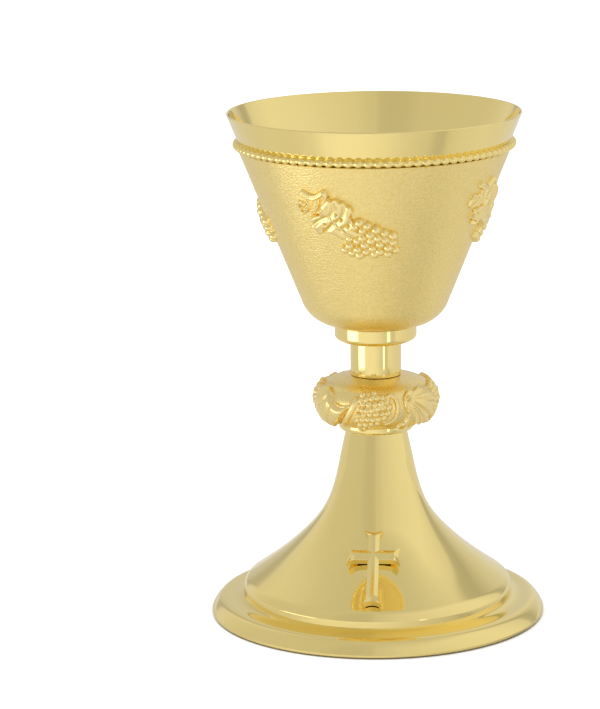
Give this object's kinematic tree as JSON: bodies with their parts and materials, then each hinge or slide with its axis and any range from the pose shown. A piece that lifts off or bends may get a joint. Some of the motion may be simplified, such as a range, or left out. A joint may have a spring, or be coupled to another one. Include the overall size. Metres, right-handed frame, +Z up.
{
  "type": "communion chalice",
  "caption": "Footed communion chalice: conical cup with satin shell and beaded lip, grape relief castings, decorated knop and spun bell foot with an applied cross.",
  "frame": {"origin": "centre of the circle the base ring stands on, at table level", "axes": "+Z up along the chalice's axis towards the cup's mouth; -Y is the front, where the foot carries its cross; +X is to the viewer's right"},
  "size_m": [0.1386, 0.1386, 0.21],
  "materials": {
    "polished_gold": "high polish gold plate on spun brass",
    "satin_gold": "sand-textured satin gold plate",
    "relief_gold": "bright gold-plated casting",
    "turned_brass": "plain turned brass",
    "steel": "zinc-plated fastener"
  },
  "bodies": {
    "root": {"cup_liner": "polished_gold", "cup_shell": "satin_gold", "bead_ring": "polished_gold", "grape_applique_front": "relief_gold", "grape_applique_right": "relief_gold", "grape_applique_back": "relief_gold", "grape_applique_left": "relief_gold", "cup_boss": "turned_brass", "cup_collar": "polished_gold", "stem_sleeve": "polished_gold", "stem_top_plug": "turned_brass", "stem_bottom_plug": "turned_brass", "knop": "satin_gold", "foot_collar": "polished_gold", "foot_bell": "polished_gold", "base_ring": "polished_gold", "foot_cross": "polished_gold", "cross_nut_upper": "steel", "cross_nut_lower": "steel", "tie_rod": "steel", "foot_seat_disc": "turned_brass", "clamp_washer": "steel", "clamp_nut": "steel"}
  },
  "joints": []
}
